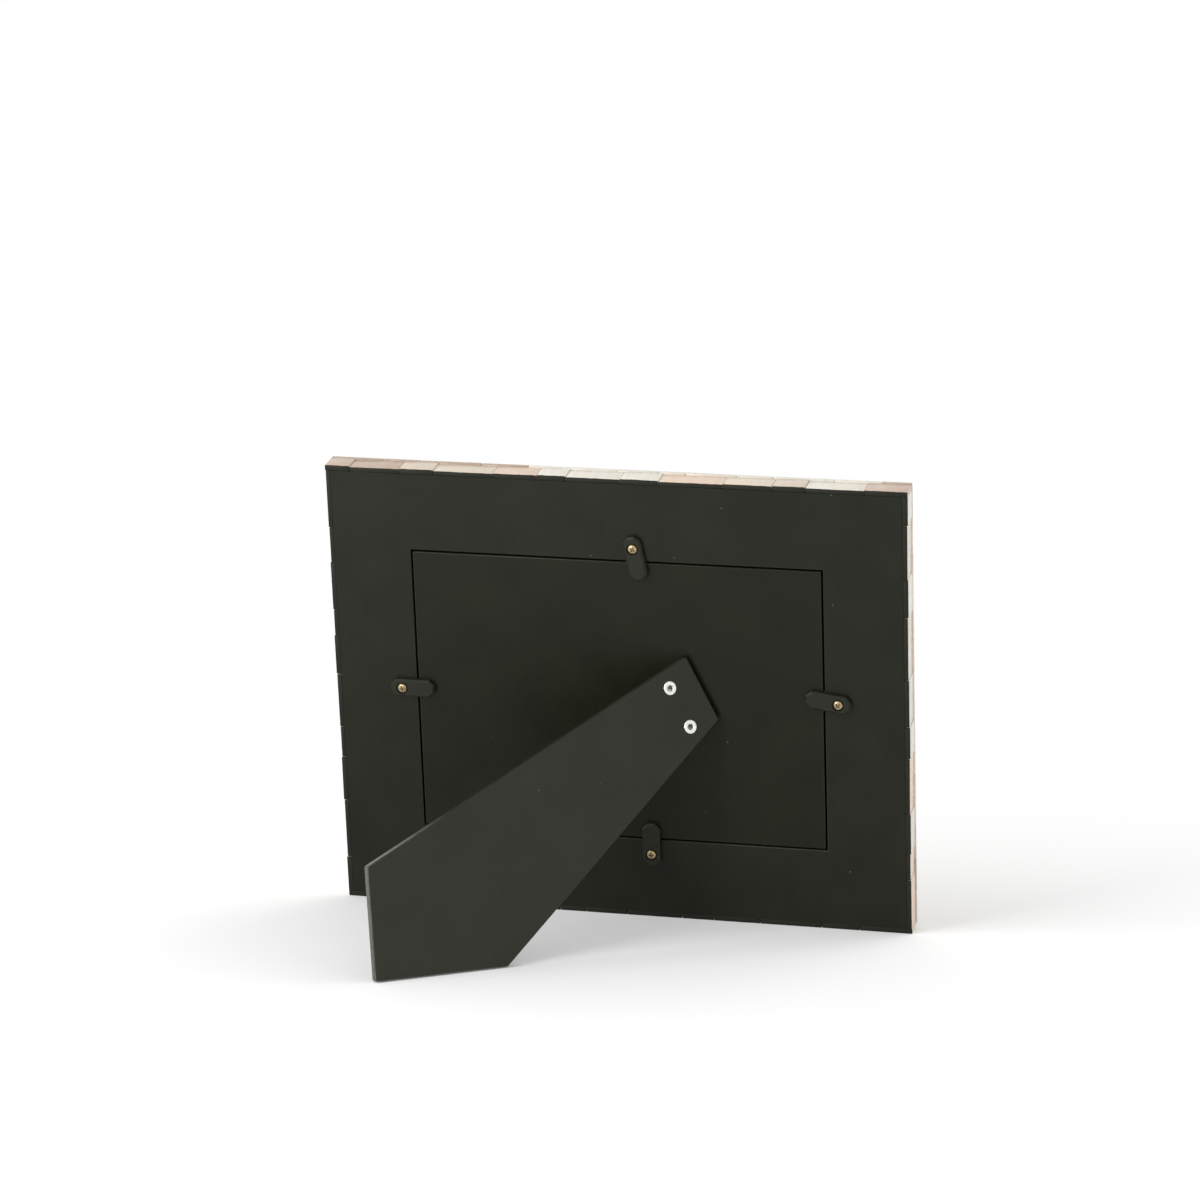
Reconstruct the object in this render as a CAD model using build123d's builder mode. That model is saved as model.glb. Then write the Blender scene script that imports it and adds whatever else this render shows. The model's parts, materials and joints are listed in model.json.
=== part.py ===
from build123d import *

import os
from math import atan, cos, degrees, radians, sin, sqrt, tan

# Easel back photo frame for a 10 x 15 cm picture, lying on its long side.
# It leans back on the lower back edge of the frame and on the foot of an easel leg.
# Millimetres, +Z up, picture side towards -Y, origin in the middle of the floor below it.
# Places on the frame are given as the back shows them: u to the right, v up, from the middle.

# Frame outline and layers
frame_width = 220.0
frame_height = 175.0
border_width = 31.7  # outer edge to the rear opening
front_board_depth = 3.5
glass_ledge_side = 5.8  # how far the front board reaches over the glass, at the sides
glass_ledge_top = 8.3  # the same at the top and the bottom

# Tiles
tile_thickness = 2.0
tile_unevenness = 0.5  # the thinnest edge tile is this much thinner
tile_joint = 0.25
shortest_tile = 9.0
longest_tile = 24.0
front_rows = 3  # rows of tiles across each side of the front
row_stagger = 0.37  # how far one row's rule is ahead of the last row's

# What lies in the rear opening
glass_thickness = 2.0
sheet_thickness = 0.3
sheet_margin_side = 2.3  # rear opening to the picture sheet, at the sides
sheet_margin_top = 4.8
panel_thickness = 3.2
panel_gap = 0.7

# Turn buttons and their screws
pivot_offset = 5.3  # rear opening to the screw
top_button_u = 7.5
bottom_button_u = 11.0
left_button_v = 0.8
right_button_v = 3.9
top_button_skew = 11.0  # degrees that a button has been turned from square
right_button_skew = -8.0
button_reach = 12.5  # screw to tip
button_tail = 4.6  # screw to the other end
button_width = 6.8
button_thickness = 2.4
button_corner_cut = 2.0
button_bevel = 0.7
button_lift = 0.05  # clearance over the board and under the screw head
screw_radius = 1.1
screw_engagement = 4.0  # length in the rear board
screw_head_radius = 1.75
screw_head_rim = 0.6
screw_head_dome = 0.6
screw_seat_depth = 0.9  # sinking of the head into the button
screw_seat_clearance = 0.5
screw_slot_length = 2.0
screw_slot_width = 0.5
screw_slot_depth = 0.6

# Easel leg
opening_angle = 45.0  # between the leg and the back, at its stop
hinge_tilt = 26.0  # hinge axis from the frame's upright direction
hinge_u = 27.2
hinge_v = 5.2
leg_thickness = 3.0
leg_heel_width = 27.2
leg_corner = 1.0
foot_side_inset = 1.0  # folded foot to the frame's side edge
foot_base_length = 52.5  # edge that stands on the floor in landscape
foot_side_length = 41.5  # edge that stands on the floor in portrait
stop_gap = 0.1  # heel to panel at the stop

# Hinge between the leg and the panel
hinge_width = 24.0
hinge_middle = 1.5  # hinge centre from the heel's middle, along the axis
knuckle_count = 5
knuckle_radius = 1.5
knuckle_side_gap = 0.2
knuckle_clearance = 0.15  # to the panel and to the leg
leaf_thickness = 0.8
leaf_length = 12.0
leaf_corner = 1.5
pin_radius = 0.65
pin_clearance = 0.05
pin_head_radius = 1.1
pin_head_length = 0.5

# Eyelets in the leg and rivets in the panel
fastener_along = 7.75  # hinge axis to eyelets and rivets
fastener_clearance = 0.05
eyelet_spacing = 16.6
eyelet_bore_radius = 0.95
eyelet_barrel_radius = 1.6
eyelet_flange_radius = 2.7
eyelet_flange_height = 0.5
eyelet_flange_fall = 0.3  # crown of the flange to its two rims
eyelet_clench_radius = 2.3
eyelet_clench_height = 0.4
rivet_spacing = 6.4
rivet_radius = 1.2
rivet_head_radius = 2.2
rivet_head_height = 0.6
rivet_head_bevel = 0.3

# Worked out from the sizes above
rear_board_depth = glass_thickness + sheet_thickness + panel_thickness
board_depth = front_board_depth + rear_board_depth
frame_depth = board_depth + tile_thickness
board_width = frame_width - 2 * tile_thickness
board_height = frame_height - 2 * tile_thickness
opening_width = frame_width - 2 * border_width
opening_height = frame_height - 2 * border_width
sight_width = opening_width - 2 * glass_ledge_side
sight_height = opening_height - 2 * glass_ledge_top
inset_width = opening_width - 2 * panel_gap
inset_height = opening_height - 2 * panel_gap
screw_seat = button_lift + button_thickness - screw_seat_depth + button_lift
leaf_seat = knuckle_radius + knuckle_clearance  # hinge axis to the panel, and to the leg
plate_start = knuckle_radius + knuckle_side_gap
knuckle_pitch = hinge_width / knuckle_count
golden_share = (sqrt(5) - 1) / 2

# The leg's foot is flush with the frame's lower edge when it is folded.
# It then stands flat when tan(lean) = sin(tilt) * tan(opening / 2), and the heel stops it there.
opening = radians(opening_angle)
lean = atan(sin(radians(hinge_tilt)) * tan(opening / 2))
heel_length = (leaf_seat * (1 + cos(opening)) - stop_gap) / sin(opening)


def back_plane(middle_y):
    """The back face: x is u, y is v and z points out of the back."""
    middle_z = frame_height / 2 * cos(lean)
    return Plane((0, middle_y, middle_z), x_dir=(-1, 0, 0), z_dir=(0, cos(lean), -sin(lean)))


def folded_plane(back):
    """The hinge axis and the leg's direction when folded: x to the foot, y along the axis."""
    return back.moved(Location((hinge_u, hinge_v, leaf_seat), (0, 0, 180 + hinge_tilt)))


def opened_plane(folded):
    """The folded leg's plane turned about the hinge axis to the stop."""
    return folded.moved(Location((0, 0, 0), (0, -opening_angle, 0)))


def on_leg(back, u, v):
    """Where a point of the back lies on the folded leg, from the hinge axis."""
    place = folded_plane(back).to_local_coords(back.from_local_coords((u, v, 0)))
    return (place.X, place.Y)


def section_plane(plane):
    """The plane through a piece's own axis: x runs outwards and y runs along the axis."""
    return plane.moved(Location((0, 0, 0), (90, 0, 0)))


def keep(builder, name):
    """Label a finished piece and write it to its own file."""
    builder.part.label = name
    export_step(builder.part, f"parts/{name}.step")


# The foot's three corners, with the leg folded
corner_u = -frame_width / 2 + foot_side_inset
corner_v = -frame_height / 2
draft_back = back_plane(0)
foot_corner = on_leg(draft_back, corner_u, corner_v)
foot_base_end = on_leg(draft_back, corner_u + foot_base_length, corner_v)
foot_side_end = on_leg(draft_back, corner_u, corner_v + foot_side_length)

# The origin lies halfway between the frame's front edge and the foot's outer corner.
draft_leg = opened_plane(folded_plane(draft_back))
rear_reach = draft_leg.from_local_coords((*foot_corner, leaf_seat + leg_thickness)).Y
front_reach = -frame_height / 2 * sin(lean) - frame_depth * cos(lean)
back_face = back_plane(-(rear_reach + front_reach) / 2)
folded_leg = folded_plane(back_face)
open_leg = opened_plane(folded_leg)

os.makedirs("parts", exist_ok=True)


# Boards of the frame

pivot_u = opening_width / 2 + pivot_offset
pivot_v = opening_height / 2 + pivot_offset
button_places = {
    "top": (top_button_u, pivot_v, -90 + top_button_skew),
    "bottom": (bottom_button_u, -pivot_v, 90),
    "left": (-pivot_u, left_button_v, 0),
    "right": (pivot_u, right_button_v, 180 + right_button_skew),
}


def pivot_plane(side, height):
    """A button's pivot: x points to its tip, z along the screw, height over the back."""
    u, v, heading = button_places[side]
    return back_face.moved(Location((u, v, height), (0, 0, heading)))


pivots = [pivot_plane(side, 0) for side in button_places]

with BuildPart() as front_board:
    with BuildSketch(back_face.offset(-board_depth)):
        Rectangle(board_width, board_height)
        Rectangle(sight_width, sight_height, mode=Mode.SUBTRACT)
    extrude(amount=front_board_depth)
keep(front_board, "front_board")

with BuildPart() as rear_board:
    with BuildSketch(back_face.offset(-rear_board_depth)):
        Rectangle(board_width, board_height)
        Rectangle(opening_width, opening_height, mode=Mode.SUBTRACT)
    extrude(amount=rear_board_depth)
    with Locations(*pivots):
        Hole(screw_radius + fastener_clearance, depth=screw_engagement + fastener_clearance)
keep(rear_board, "rear_board")


# Tiles on the front and round the edge

side_turns = {"top": 0, "left": 90, "bottom": 180, "right": 270}


def side_plane(side, distance, depth):
    """A side of the frame: x along it, y outwards from a distance off the middle, z out of the back."""
    turned = back_face.moved(Location((0, 0, -depth), (0, 0, side_turns[side])))
    return turned.moved(Location((0, distance, 0)))


def tile_run(run, row):
    """The middle and the length of each tile in a row, uneven by a fixed rule."""
    count = max(2, round(2 * run / (shortest_tile + longest_tile)))
    spread = longest_tile - shortest_tile
    starts = row * row_stagger
    lengths = [shortest_tile + spread * ((starts + i * golden_share) % 1) for i in range(count)]
    stretch = (run - (count - 1) * tile_joint) / sum(lengths)
    tiles = []
    start = -run / 2
    for length in lengths:
        tiles.append((start + stretch * length / 2, stretch * length))
        start += stretch * length + tile_joint
    return tiles


def edge_tiles(side, distance, run, unevenness):
    """One side's row of tiles round the edge, each glued to both boards."""
    with BuildPart() as tiles:
        for number, (middle, length) in enumerate(tile_run(run, side_turns[side] // 90)):
            thickness = tile_thickness - unevenness * (number * golden_share % 1)
            with BuildSketch(side_plane(side, distance, board_depth)):
                with Locations((middle, thickness / 2)):
                    Rectangle(length, thickness)
            extrude(amount=board_depth)
    keep(tiles, f"edge_tiles_{side}")


def front_tiles(side, distance, run, band):
    """One side's rows of tiles on the front, from the sight edge outwards."""
    row_width = (band - (front_rows - 1) * tile_joint) / front_rows
    with BuildPart() as tiles:
        for row in range(front_rows):
            row_middle = row_width / 2 + row * (row_width + tile_joint)
            with BuildSketch(side_plane(side, distance, frame_depth)):
                for middle, length in tile_run(run, row + side_turns[side] // 90):
                    with Locations((middle, row_middle)):
                        Rectangle(length, row_width)
            extrude(amount=tile_thickness)
    keep(tiles, f"front_tiles_{side}")


# The lower row is even, so that the frame stands steady.
edge_tiles("top", board_height / 2, frame_width, tile_unevenness)
edge_tiles("bottom", board_height / 2, frame_width, 0)
edge_tiles("left", board_width / 2, board_height, tile_unevenness)
edge_tiles("right", board_width / 2, board_height, tile_unevenness)

band_top = (frame_height - sight_height) / 2
band_side = (frame_width - sight_width) / 2
front_tiles("top", sight_height / 2, frame_width, band_top)
front_tiles("bottom", sight_height / 2, frame_width, band_top)
front_tiles("left", sight_width / 2, sight_height - 2 * tile_joint, band_side)
front_tiles("right", sight_width / 2, sight_height - 2 * tile_joint, band_side)


# Glass, picture and back panel

with BuildPart() as glass_pane:
    with BuildSketch(back_face.offset(-rear_board_depth)):
        Rectangle(inset_width, inset_height)
    extrude(amount=glass_thickness)
keep(glass_pane, "glass_pane")

with BuildPart() as picture_sheet:
    with BuildSketch(back_face.offset(-panel_thickness - sheet_thickness)):
        Rectangle(opening_width - 2 * sheet_margin_side, opening_height - 2 * sheet_margin_top)
    extrude(amount=sheet_thickness)
keep(picture_sheet, "picture_sheet")


def hinge_row(spacing):
    """Two places in a row beside the hinge axis, as x and y of the hinge's planes."""
    return [(fastener_along, hinge_middle + shift) for shift in (-spacing / 2, spacing / 2)]


def hinge_row_planes(plane, spacing, height):
    """Planes across the two fasteners of a row, at a height over the hinge axis."""
    return [plane.moved(Location((x, y, height))) for x, y in hinge_row(spacing)]


rivet_planes = hinge_row_planes(folded_leg, rivet_spacing, -leaf_seat)
eyelet_planes = hinge_row_planes(open_leg, eyelet_spacing, leaf_seat)

with BuildPart() as back_panel:
    with BuildSketch(back_face.offset(-panel_thickness)):
        Rectangle(inset_width, inset_height)
    extrude(amount=panel_thickness)
    with Locations(*rivet_planes):
        Hole(rivet_radius + fastener_clearance, depth=panel_thickness)
keep(back_panel, "back_panel")


# Turn buttons and their screws

def dome(radius, rim, rise):
    """An arc over the middle of a head, from its rim up to its axis."""
    curve = (radius**2 + rise**2) / (2 * rise)
    halfway = rim + rise - curve + sqrt(curve**2 - radius**2 / 4)
    ThreePointArc((radius, rim), (radius / 2, halfway), (0, rim + rise))


def turn_button(side):
    """A flat lever with cut corners and a bevel all round its top."""
    plane = pivot_plane(side, button_lift)
    with BuildPart() as button:
        with BuildSketch(plane) as outline:
            with Locations(((button_reach - button_tail) / 2, 0)):
                Rectangle(button_reach + button_tail, button_width)
            chamfer(outline.vertices(), button_corner_cut)
        extrude(amount=button_thickness)
        top_face = button.faces().sort_by(Axis(plane.origin, plane.z_dir))[-1]
        chamfer(top_face.edges(), length=button_bevel)
        with Locations(plane.offset(button_thickness)):
            CounterBoreHole(
                radius=screw_radius + fastener_clearance,
                counter_bore_radius=screw_head_radius + screw_seat_clearance,
                counter_bore_depth=screw_seat_depth,
                depth=button_thickness,
            )
    keep(button, f"turn_button_{side}")


for button_side in button_places:
    turn_button(button_side)

with BuildPart() as turn_button_screws:
    for pivot in pivots:
        with BuildSketch(section_plane(pivot)):
            with BuildLine():
                Polyline(
                    (0, screw_seat + screw_head_rim + screw_head_dome),
                    (0, -screw_engagement),
                    (screw_radius, -screw_engagement),
                    (screw_radius, screw_seat),
                    (screw_head_radius, screw_seat),
                    (screw_head_radius, screw_seat + screw_head_rim),
                )
                dome(screw_head_radius, screw_seat + screw_head_rim, screw_head_dome)
            make_face()
        revolve(axis=Axis(pivot.origin, pivot.z_dir))
        head_top = pivot.offset(screw_seat + screw_head_rim + screw_head_dome)
        with BuildSketch(head_top):
            Rectangle(screw_slot_length, screw_slot_width)
            Rectangle(screw_slot_width, screw_slot_length)
        extrude(amount=-screw_slot_depth, mode=Mode.SUBTRACT)
keep(turn_button_screws, "turn_button_screws")


# Easel leg and its hinge

with BuildPart() as easel_leg:
    with BuildSketch(open_leg.offset(leaf_seat)) as leg_outline:
        with BuildLine():
            Polyline(
                (-heel_length, -leg_heel_width / 2),
                (-heel_length, leg_heel_width / 2),
                foot_base_end,
                foot_corner,
                foot_side_end,
                close=True,
            )
        make_face()
        fillet(leg_outline.vertices(), leg_corner)
        with Locations(*hinge_row(eyelet_spacing)):
            Circle(eyelet_barrel_radius + fastener_clearance, mode=Mode.SUBTRACT)
    extrude(amount=leg_thickness)
keep(easel_leg, "easel_leg")


def across_axis(plane, place):
    """A plane across the hinge axis: x to the foot and y out of the back."""
    return plane.moved(Location((0, hinge_middle + place, 0), (90, 0, 0)))


def hinge_leaf(plane, level, first_knuckle, spacing, hole_radius):
    """A plate at a level over the hinge axis, with every second knuckle rolled from it."""
    with BuildPart() as leaf:
        with BuildSketch(plane.offset(level)) as plate:
            with Locations(((plate_start + leaf_length) / 2, hinge_middle)):
                Rectangle(leaf_length - plate_start, hinge_width)
            fillet(plate.vertices().group_by(Axis.X)[-1], leaf_corner)
            with Locations(*hinge_row(spacing)):
                Circle(hole_radius, mode=Mode.SUBTRACT)
        extrude(amount=leaf_thickness)
        for knuckle in range(first_knuckle, knuckle_count, 2):
            far_end = (knuckle + 1) * knuckle_pitch - (hinge_width + knuckle_side_gap) / 2
            tab_length = plate_start + leaf_thickness
            with BuildSketch(across_axis(plane, far_end)):
                Circle(knuckle_radius)
                with Locations((tab_length / 2, level + leaf_thickness / 2)):
                    Rectangle(tab_length, leaf_thickness)
                Circle(pin_radius + pin_clearance, mode=Mode.SUBTRACT)
            extrude(amount=knuckle_pitch - knuckle_side_gap)
    return leaf


panel_leaf = hinge_leaf(folded_leg, -leaf_seat, 0, rivet_spacing, rivet_radius + fastener_clearance)
keep(panel_leaf, "hinge_leaf_panel")

leg_leaf_level = leaf_seat - leaf_thickness
eyelet_hole = eyelet_barrel_radius + fastener_clearance
leg_leaf = hinge_leaf(open_leg, leg_leaf_level, 1, eyelet_spacing, eyelet_hole)
keep(leg_leaf, "hinge_leaf_leg")

with BuildPart() as hinge_pin:
    with BuildSketch(across_axis(folded_leg, hinge_width / 2)):
        Circle(pin_radius)
    extrude(amount=hinge_width)
    for pin_end in (hinge_width / 2 + pin_head_length, -hinge_width / 2):
        with BuildSketch(across_axis(folded_leg, pin_end)):
            Circle(pin_head_radius)
        extrude(amount=pin_head_length)
keep(hinge_pin, "hinge_pin")

with BuildPart() as panel_rivets:
    for rivet_plane in rivet_planes:
        rivet_top = leaf_thickness + rivet_head_height
        with BuildSketch(section_plane(rivet_plane)):
            with BuildLine():
                Polyline(
                    (0, rivet_top),
                    (0, -panel_thickness),
                    (rivet_radius, -panel_thickness),
                    (rivet_radius, leaf_thickness),
                    (rivet_head_radius, leaf_thickness),
                    (rivet_head_radius, rivet_top - rivet_head_bevel),
                    (rivet_head_radius - rivet_head_bevel, rivet_top),
                    close=True,
                )
            make_face()
        revolve(axis=Axis(rivet_plane.origin, rivet_plane.z_dir))
keep(panel_rivets, "panel_rivets")

with BuildPart() as leg_eyelets:
    for eyelet_plane in eyelet_planes:
        clench_top = -leaf_thickness
        clench_low = clench_top - eyelet_clench_height
        flange_top = leg_thickness + eyelet_flange_height
        flange_crown = (eyelet_bore_radius + eyelet_flange_radius) / 2
        with BuildSketch(section_plane(eyelet_plane)):
            with BuildLine():
                Polyline(
                    (eyelet_bore_radius, flange_top - eyelet_flange_fall),
                    (eyelet_bore_radius, clench_low),
                    (eyelet_clench_radius, clench_low),
                    (eyelet_clench_radius, clench_top),
                    (eyelet_barrel_radius, clench_top),
                    (eyelet_barrel_radius, leg_thickness),
                    (eyelet_flange_radius, leg_thickness),
                    (eyelet_flange_radius, flange_top - eyelet_flange_fall),
                    (flange_crown, flange_top),
                    close=True,
                )
            make_face()
        revolve(axis=Axis(eyelet_plane.origin, eyelet_plane.z_dir))
keep(leg_eyelets, "leg_eyelets")

print(f"lean {degrees(lean):.3f} degrees, heel {heel_length:.3f} mm")
print("hinge axis through", folded_leg.origin, "along", folded_leg.y_dir)
for side, pivot in zip(button_places, pivots):
    print(side, "pivot", pivot.origin, "along", pivot.z_dir)
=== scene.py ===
"""Looks of an easel back photo frame, built round its CAD model.

The rear board, panel, sheet and leg are worked copies of their CAD pieces. Tiles, screws, rivets
and eyelets are made by geometry nodes. The other pieces keep their CAD shape. Every surface has
a procedural finish. Lengths are in metres, and patterns are laid out in millimetres.
"""

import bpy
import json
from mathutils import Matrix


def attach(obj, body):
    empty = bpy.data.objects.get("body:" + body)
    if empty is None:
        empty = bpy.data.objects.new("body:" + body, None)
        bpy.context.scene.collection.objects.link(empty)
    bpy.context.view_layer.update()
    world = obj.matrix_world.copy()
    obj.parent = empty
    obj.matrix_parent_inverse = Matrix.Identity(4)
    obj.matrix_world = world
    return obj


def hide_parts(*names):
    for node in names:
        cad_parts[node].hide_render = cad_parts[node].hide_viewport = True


bl_info = {
    "name": "Easel Back Photo Frame",
    "version": (1, 0, 0),
    "blender": (4, 5, 0),
    "location": "View3D > Sidebar > Photo Frame",
    "description": "Finishes, tiles, fittings and studio of an easel back photo frame",
    "category": "Object",
}

import json
from math import pi, radians

import bmesh
import bpy
import numpy as np
from bpy.props import FloatProperty, FloatVectorProperty, IntProperty, PointerProperty
from bpy.types import Operator, Panel, PropertyGroup
from mathutils import Matrix, Quaternion, Vector

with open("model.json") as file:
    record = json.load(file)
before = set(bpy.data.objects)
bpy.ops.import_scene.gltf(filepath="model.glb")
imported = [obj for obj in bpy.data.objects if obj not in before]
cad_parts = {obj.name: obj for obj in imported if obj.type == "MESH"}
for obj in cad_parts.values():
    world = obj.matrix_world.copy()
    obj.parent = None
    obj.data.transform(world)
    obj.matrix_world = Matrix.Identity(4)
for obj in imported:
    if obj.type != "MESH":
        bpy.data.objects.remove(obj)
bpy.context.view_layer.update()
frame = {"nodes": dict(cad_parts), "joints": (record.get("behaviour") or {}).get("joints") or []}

MM = 0.001
SIDES = ("top", "bottom", "left", "right")

# Limits that tell corners, edges and faces apart
MERGE = 1e-6  # corners nearer than this are one corner
SLIVER = 0.005 * MM  # edges shorter than this are closed up after a cut
FLAT_AREA = 10 * MM * MM  # faces larger than this are shaded flat
ONE_FACE = radians(0.5)  # faces that turn by less than this are one face
SMOOTH = radians(35)  # faces that turn by less than this are shaded as one
SHARP = radians(40)  # edges that turn by more than this may be rounded
LONG_EDGE = 20 * MM  # board edges shorter than this stay sharp
TILED_EDGE = 1 * MM  # board edges nearer than this to the outline stay sharp, under the tiles
EYELET_EDGE = 4 * MM  # leg edges nearer than this to an eyelet stay sharp
LOOKS_ALONG = 0.9  # least product of a face's normal and a direction that it looks along

# Facets of rounded edges and round shapes
BOARD_FACETS = 3
TILE_FACETS = 2
HEAD_FACETS = 40
EYELET_FACETS = 56
LIP_FACETS = 24

# Eyelets
BARREL_STEP = 0.12 * MM  # bore of the lips to the wider bore of the barrel
CLENCH_SHARE = 0.7  # height of the inner lip against the outer flange

# Tones of the tiles
TONES = ("cream", "pearl", "peach", "rose", "tan")
FRONT_SHARES = (0.32, 0.3, 0.2, 0.12, 0.06)  # how many tiles have each tone
EDGE_SHARES = (0.42, 0.4, 0.18, 0.0, 0.0)
# Tiles of the upper edge from left to right, as they show from behind
TOP_EDGE = "rose rose cream cream peach pearl pearl pearl peach cream cream pearl rose".split()
BROWN_ENDS = (-31 * MM, 96 * MM)  # the upper outer row on the front is brown beyond these places
OUTER_ROW = 1 * MM  # tiles nearer than this to the outermost one are in the outer row


# Places and directions, read from the frame

def joint(name):
    """A joint of the frame by its name."""
    return next(found for found in frame["joints"] if found["name"] == name)


def corners(node):
    """Every corner of a CAD node's mesh, one row each."""
    mesh = frame["nodes"][node].data
    places = np.zeros(len(mesh.vertices) * 3, np.float32)
    mesh.vertices.foreach_get("co", places)
    return places.reshape(-1, 3)


def axes_of(origin, across, outward):
    """A matrix whose x runs across, whose z runs outward, and whose y is square to both."""
    turn = Matrix((across, outward.cross(across), outward)).transposed()
    return Matrix.Translation(origin) @ turn.to_4x4()


def seen_from(axes, places):
    """Rows of places in the frame, as rows in the given axes."""
    turn = np.array(axes.to_3x3())
    return (places - np.array(axes.translation)) @ turn


def back_axes():
    """Axes of the back: x to the right as the back shows it, y up the back, z out of it."""
    outward = Vector(joint("button_top_turn")["axis"]).normalized()
    axes = axes_of(Vector(), Vector((-1, 0, 0)), outward)
    places = seen_from(axes, corners("rear_board"))
    middle = Vector((places.min(0) + places.max(0)) / 2)
    middle.z = places[:, 2].max()
    return Matrix.Translation(axes @ middle) @ axes


def leg_axes(back):
    """Axes of the opened leg: x to its foot, y along the hinge, z out of its outer face."""
    fold = joint("leg_fold")
    hinge = Vector(fold["axis"]).normalized()
    opened = radians(max(fold["range_deg"]))
    outward = Matrix.Rotation(-opened, 3, hinge) @ back.to_3x3().col[2]
    return axes_of(Vector(fold["pos_m"]), hinge.cross(outward), outward)


BACK = back_axes()
LEG = leg_axes(BACK)


def merged_shape(node):
    """A copy of a CAD node to work on, with its loose triangles joined."""
    shape = bmesh.new()
    shape.from_mesh(frame["nodes"][node].data)
    bmesh.ops.remove_doubles(shape, verts=shape.verts, dist=MERGE)
    return shape


def solids_of(node, axes):
    """The lowest and highest corner of each solid of a node, in the given axes."""
    shape = merged_shape(node)
    left = set(shape.verts)
    found = []
    while left:
        front = [left.pop()]
        solid = []
        while front:
            corner = front.pop()
            solid.append(corner.co[:])
            near = {edge.other_vert(corner) for edge in corner.link_edges} & left
            left -= near
            front.extend(near)
        places = seen_from(axes, np.array(solid))
        found.append((places.min(0), places.max(0)))
    shape.free()
    # Sorted to a hundredth of a millimetre, so that rounding doesn't change the order
    return sorted(found, key=lambda solid: tuple(np.round(solid[0] / MM, 2)))


# Settings that a user would change

def setting(make, measure=1.0, **look):
    """A function that makes one kind of setting, whose default is written in a measure."""
    def made(name, description, default):
        kept = np.multiply(default, measure).tolist()
        return make(name=name, description=description, default=kept, **look)

    return made


colour = setting(FloatVectorProperty, subtype="COLOR", min=0, max=1)
spot = setting(FloatVectorProperty, MM, subtype="TRANSLATION", unit="LENGTH")
size = setting(FloatProperty, MM, unit="LENGTH", precision=5)
angle = setting(FloatProperty, radians(1), subtype="ANGLE")
share = setting(FloatProperty, subtype="FACTOR", min=0, max=1)
number = setting(FloatProperty)


class PaintSettings(PropertyGroup):
    """Painted wood: the boards, the panel and the leg."""

    board: colour("Board", "Paint of the frame's boards", (0.0125, 0.0132, 0.0072))
    panel: colour("Panel", "Paint of the back panel", (0.0092, 0.0101, 0.0040))
    # The leg's paint is the boards' black made lighter as painted light, for a leg that faces up to
    # the lamps
    leg: colour("Leg", "Paint of the easel leg", (0.0176, 0.0177, 0.0096))
    # Paler paint of the edges: rubbed paint and painted highlight; also the buttons' scuffs
    rubbed: colour("Rubbed edge", "Thin paint along the edges", (0.125, 0.123, 0.110))
    board_gloss: share("Board gloss", "Strength of the boards' reflections", 0.17)
    leg_gloss: share("Leg gloss", "Strength of the leg's reflections", 0.31)
    dust: colour("Dust", "Fine specks that lie on dark surfaces", (0.20, 0.195, 0.18))
    dusty: share("Dusty", "How many places on the paint have a speck", 0.1)
    easing: size("Edge easing", "Rounding of the painted edges", 0.35)
    # How far the edges are painted paler, as rubbing and painted highlight
    board_wear: share("Board wear", "Rubbing of the boards' edges", 0.12)
    leg_wear: share("Leg wear", "Rubbing of the leg's edges", 0.6)
    # Near the hinge the leg's edges are painted as dark as the boards, as painted shade, and
    # towards the foot paler, as rubbing and painted light
    wear_start: size("Wear start", "Hinge to where the leg's edges start to be rubbed", 105)
    wear_full: size("Wear full", "Hinge to where the leg's edges are fully rubbed", 130)


class TileSettings(PropertyGroup):
    """Pale shell tiles on the front and round the edge."""

    cream: colour("Cream", "Warm white tiles", (0.745, 0.640, 0.510))
    pearl: colour("Pearl", "Cool white tiles", (0.790, 0.755, 0.665))
    peach: colour("Peach", "Pink cream tiles", (0.760, 0.585, 0.455))
    rose: colour("Rose", "Pink brown tiles", (0.560, 0.420, 0.325))
    tan: colour("Tan", "Brown tiles", (0.470, 0.350, 0.260))
    grout: colour("Grout", "Filler between the tiles", (0.600, 0.520, 0.420))
    easing: size("Tile easing", "Rounding of the tiles' edges", 0.22)
    lift: size("Lift", "Most that a tile stands proud of the next", 0.06)
    skew: angle("Skew", "Most that a tile is turned from square", 0.25)
    edge_grout: size("Edge grout", "Thickest edge tile's face to the grout", 0.55)
    front_grout: size("Front grout", "Front tiles' face to the grout", 0.18)
    paint_line: size("Paint line", "How far the black of the back runs onto the edge tiles", 0.4)
    seed: IntProperty(name="Seed", description="Choice of tones, lifts and skews", default=11)


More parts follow.
